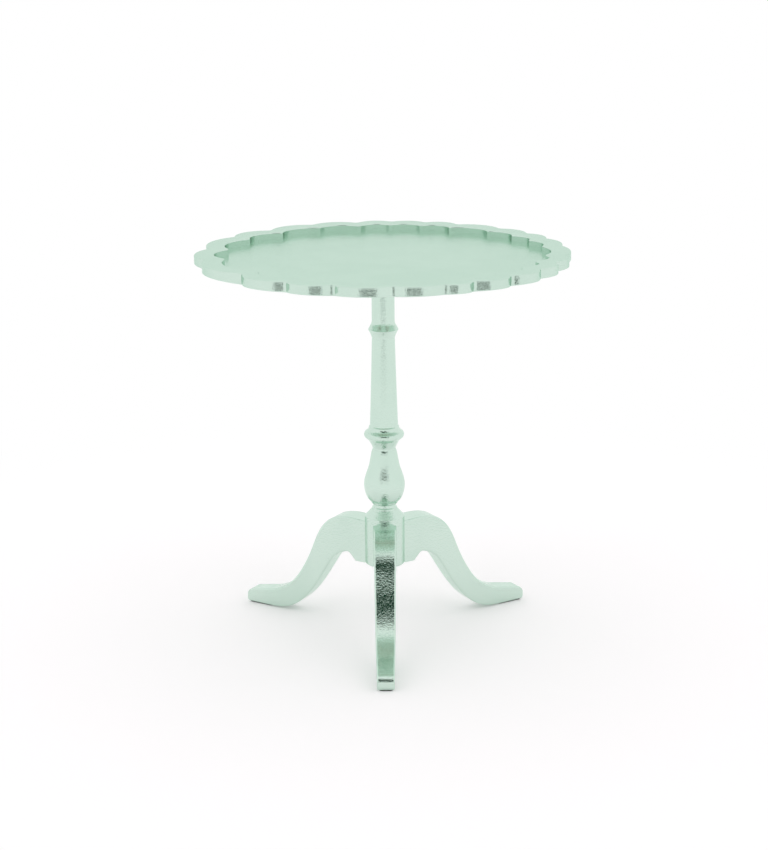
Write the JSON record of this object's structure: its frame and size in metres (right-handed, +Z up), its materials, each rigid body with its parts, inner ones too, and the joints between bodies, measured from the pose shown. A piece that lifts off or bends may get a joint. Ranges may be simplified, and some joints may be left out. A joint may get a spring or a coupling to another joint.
{
  "type": "tilt top table",
  "caption": "Round tilt-top tea table with a scalloped raised rim, a turned pillar and cabriole legs on slipper feet.",
  "frame": {"origin": "on the floor, on the pillar's axis", "axes": "+Z up; -Y toward the single front leg and the hinge side; +Y toward the latch; +X to the right seen from the front"},
  "size_m": [0.7105, 0.7098, 0.76],
  "materials": {
    "leafed_wood": "metal leaf under a pale green lacquer, bright with a fine grain",
    "bare_wood": "planed, thinly waxed",
    "wedge_wood": "planed",
    "steel": "turned",
    "spring_steel": "drawn wire",
    "black_iron": "blackened",
    "brass": "lightly aged",
    "foot_pad": "dense felt"
  },
  "bodies": {
    "base": {"column": "leafed_wood", "leg_front": "leafed_wood", "leg_left": "leafed_wood", "leg_right": "leafed_wood", "spider_plate": "black_iron", "spider_screws": "steel", "foot_pad_front": "foot_pad", "foot_pad_left": "foot_pad", "foot_pad_right": "foot_pad", "pivot_block": "bare_wood", "tenon_wedge": "wedge_wood", "pivot_pin_left": "steel", "pivot_pin_right": "steel", "strike_plate": "brass", "strike_screws": "brass"},
    "top": {"table_top": "leafed_wood", "rim": "leafed_wood", "bearer_left": "bare_wood", "bearer_right": "bare_wood", "bearer_screws": "steel", "catch_plate": "brass", "catch_case": "brass", "catch_screws": "brass", "catch_spring": "spring_steel"},
    "bolt": {"catch_bolt": "brass", "catch_knob": "brass"}
  },
  "joints": [
    {"name": "top_tilt", "type": "hinge", "parent": "base", "child": "top", "pos_m": [0, -0.0605, 0.72], "axis": [1, 0, 0], "range_deg": [0, 90]},
    {"name": "catch_slide", "type": "slide", "parent": "top", "child": "bolt", "axis": [0, 1, 0], "range_m": [0, 0.008], "stiffness_N_per_m": 300, "springref_m": -0.006, "deforming": ["catch_spring"]}
  ]
}
